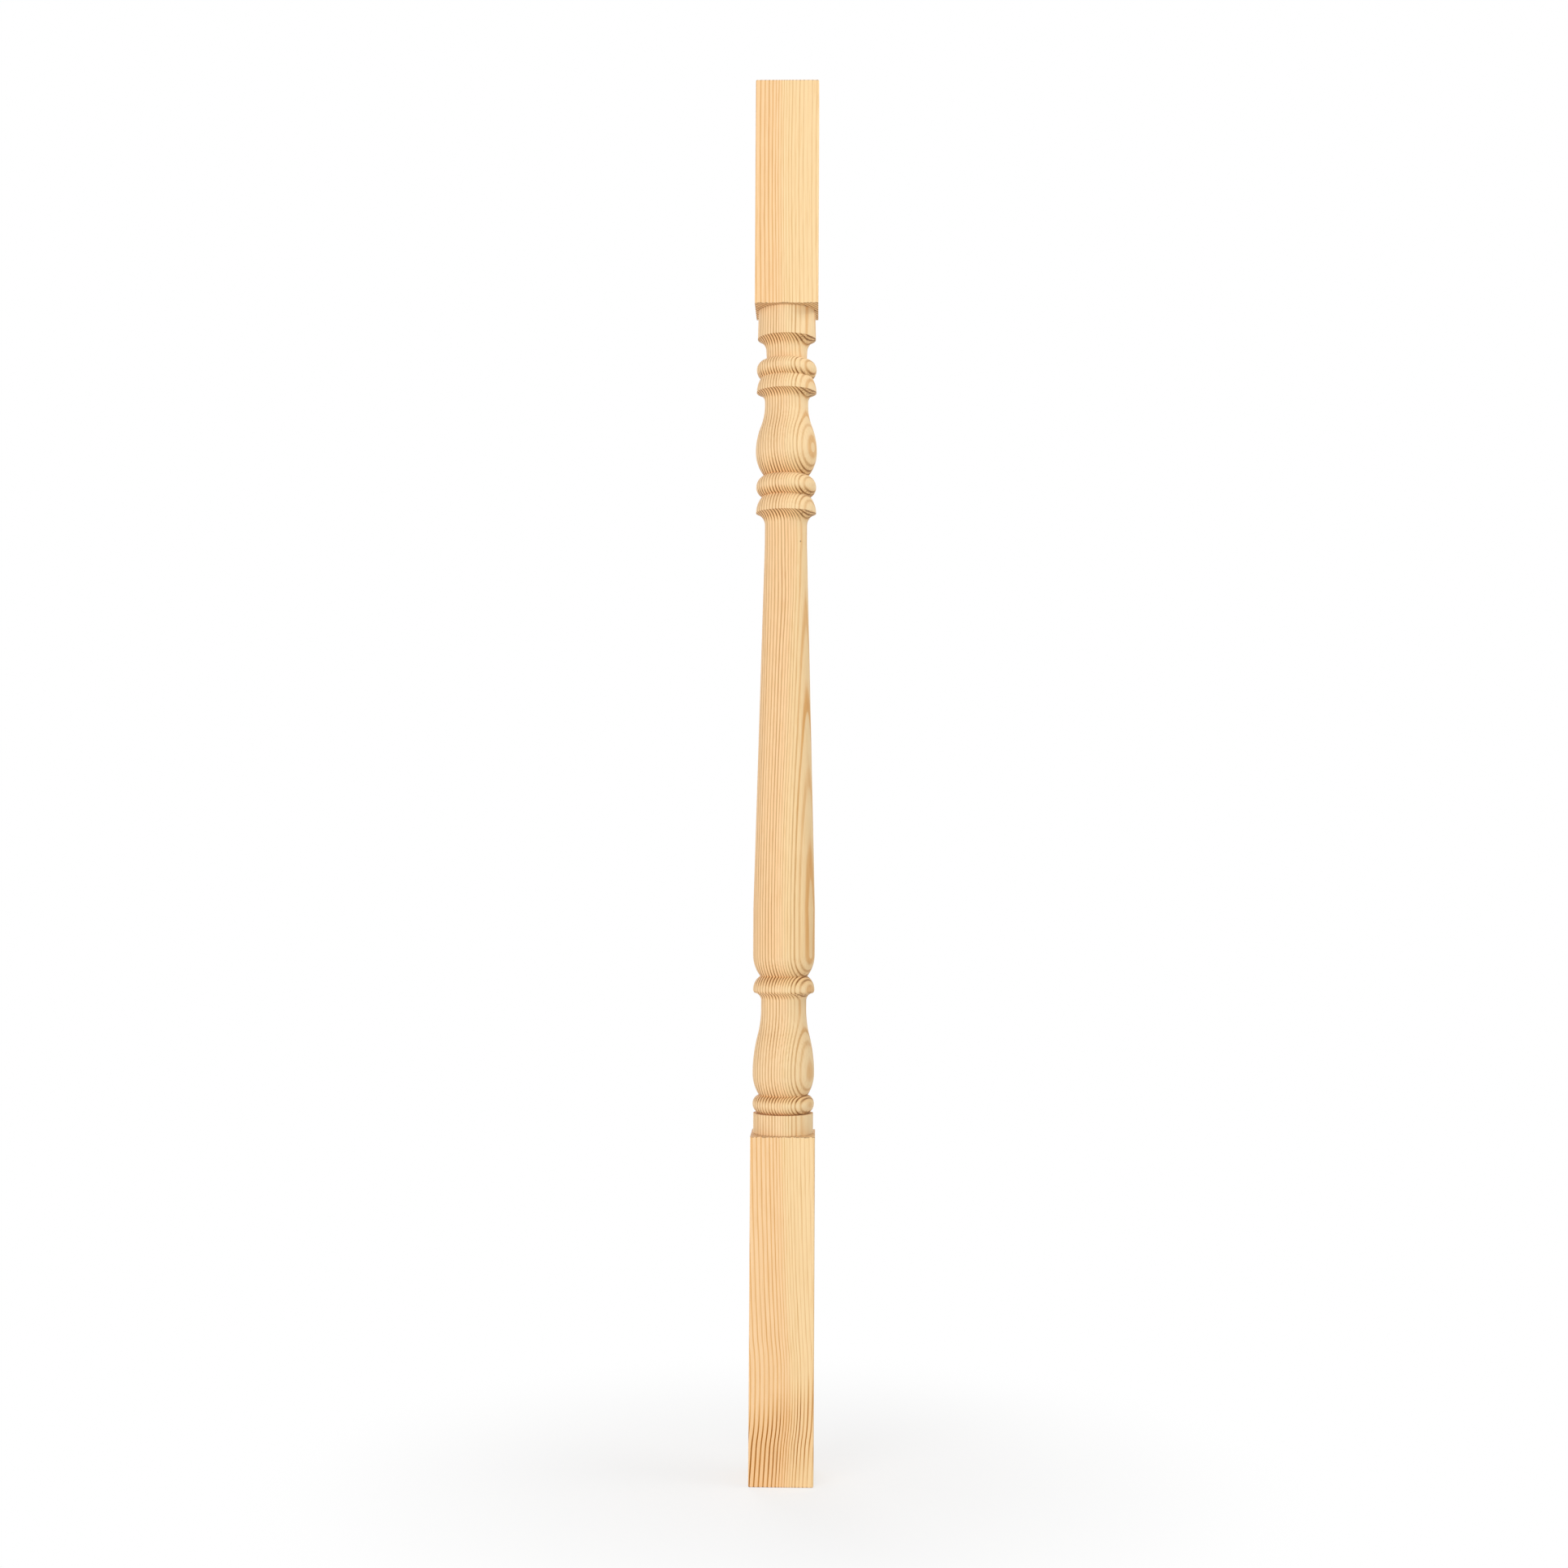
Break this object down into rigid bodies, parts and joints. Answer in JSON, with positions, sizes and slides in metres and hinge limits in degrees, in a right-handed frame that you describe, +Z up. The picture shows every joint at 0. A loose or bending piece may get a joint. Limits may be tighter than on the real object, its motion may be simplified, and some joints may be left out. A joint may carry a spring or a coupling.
{
  "type": "stair baluster",
  "caption": "Turned softwood stair baluster: a square foot block and head block joined by collars, beads, two vases and a long tapered shaft.",
  "frame": {"origin": "centre of the square foot, on the surface it stands on", "axes": "+Z up the length, from the foot to the head; X and Y square to the faces of the end blocks"},
  "size_m": [0.041, 0.041, 0.9],
  "materials": {
    "pine": "bare planed and turned pine, unvarnished"
  },
  "bodies": {
    "root": {"baluster": "pine"}
  },
  "joints": []
}
